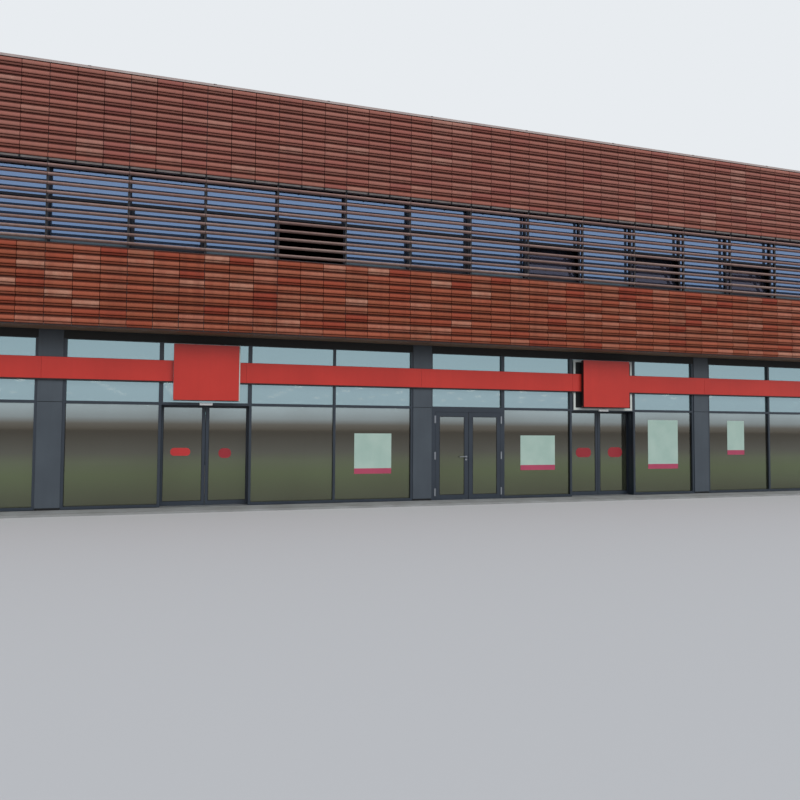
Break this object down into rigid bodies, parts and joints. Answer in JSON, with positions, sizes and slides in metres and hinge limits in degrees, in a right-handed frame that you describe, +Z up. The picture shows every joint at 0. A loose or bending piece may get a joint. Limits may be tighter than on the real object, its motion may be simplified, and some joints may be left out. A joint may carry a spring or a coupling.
{
  "type": "supermarket building",
  "caption": "Two-storey supermarket: glazed set-back ground floor with swing and sliding doors, terracotta clad upper storey with a ribbon of windows behind sun louvres",
  "frame": {"origin": "middle of the plan, at ground level under the floor slab", "axes": "+Z up, the entrance front faces -Y, +X to the right seen from the front"},
  "size_m": [37.74, 19.98, 9.985],
  "materials": {
    "concrete": "floated concrete",
    "roofing": "grey mineral roofing",
    "render": "dark cement render",
    "soffit": "matt brown-grey boards",
    "coping": "folded sheet, satin",
    "column_cladding": "satin dark grey sheet",
    "terracotta": "unglazed fired clay",
    "glass": "clear float glass",
    "red_panel": "satin red panel",
    "hinge_metal": "anodised",
    "white_plastic": "moulded",
    "aluminium": "mill finish extrusion",
    "frame_grey": "satin dark grey powder coat"
  },
  "bodies": {
    "building": {"back_louvres": "terracotta", "back_ribbon_frames": "frame_grey", "back_shop_frames": "frame_grey", "back_terracotta": "terracotta", "back_wall": "render", "columns": "column_cladding", "corner_piers": "render", "door_sensors": "white_plastic", "entrance_reveals": "frame_grey", "entrance_tracks": "aluminium", "floor_slab": "concrete", "front_louvres": "terracotta", "front_ribbon_frames": "frame_grey", "front_shop_frames": "frame_grey", "front_terracotta": "terracotta", "front_wall": "render", "left_louvres": "terracotta", "left_ribbon_frames": "frame_grey", "left_shop_frames": "frame_grey", "left_terracotta": "terracotta", "left_wall": "render", "louvre_rails": "frame_grey", "opened_sash_panes": "glass", "opened_sashes": "frame_grey", "opened_window_frames": "frame_grey", "over_door_frames": "frame_grey", "red_band": "red_panel", "red_boxes": "red_panel", "ribbon_glass": "glass", "right_louvres": "terracotta", "right_ribbon_frames": "frame_grey", "right_shop_frames": "frame_grey", "right_terracotta": "terracotta", "right_wall": "render", "roof_coping": "coping", "roof_slab": "roofing", "shop_glass": "glass", "soffit_lining": "soffit", "swing_door_frame": "frame_grey", "swing_door_hinges": "hinge_metal", "upper_floor_slab": "concrete"},
    "swing_left": {"swing_leaf_left": "frame_grey", "swing_pane_left": "glass"},
    "swing_right": {"swing_leaf_right": "frame_grey", "swing_pane_right": "glass"},
    "left_entrance_left": {"left_entrance_leaf_left": "frame_grey", "left_entrance_pane_left": "glass"},
    "left_entrance_right": {"left_entrance_leaf_right": "frame_grey", "left_entrance_pane_right": "glass"},
    "right_entrance_left": {"right_entrance_leaf_left": "frame_grey", "right_entrance_pane_left": "glass"},
    "right_entrance_right": {"right_entrance_leaf_right": "frame_grey", "right_entrance_pane_right": "glass"}
  },
  "joints": [
    {"name": "swing_left_hinge", "type": "hinge", "parent": "building", "child": "swing_left", "pos_m": [0.4225, -9.1825, 1.2], "axis": [0, 0, -1], "range_deg": [0, 90]},
    {"name": "swing_right_hinge", "type": "hinge", "parent": "building", "child": "swing_right", "pos_m": [2.32375, -9.1825, 1.2], "axis": [0, 0, 1], "range_deg": [0, 90]},
    {"name": "left_entrance_left_slide", "type": "slide", "parent": "building", "child": "left_entrance_left", "axis": [-1, 0, 0], "range_m": [0, 0.95]},
    {"name": "left_entrance_right_slide", "type": "slide", "parent": "building", "child": "left_entrance_right", "axis": [1, 0, 0], "range_m": [0, 0.95]},
    {"name": "right_entrance_left_slide", "type": "slide", "parent": "building", "child": "right_entrance_left", "axis": [-1, 0, 0], "range_m": [0, 0.95]},
    {"name": "right_entrance_right_slide", "type": "slide", "parent": "building", "child": "right_entrance_right", "axis": [1, 0, 0], "range_m": [0, 0.95]}
  ]
}
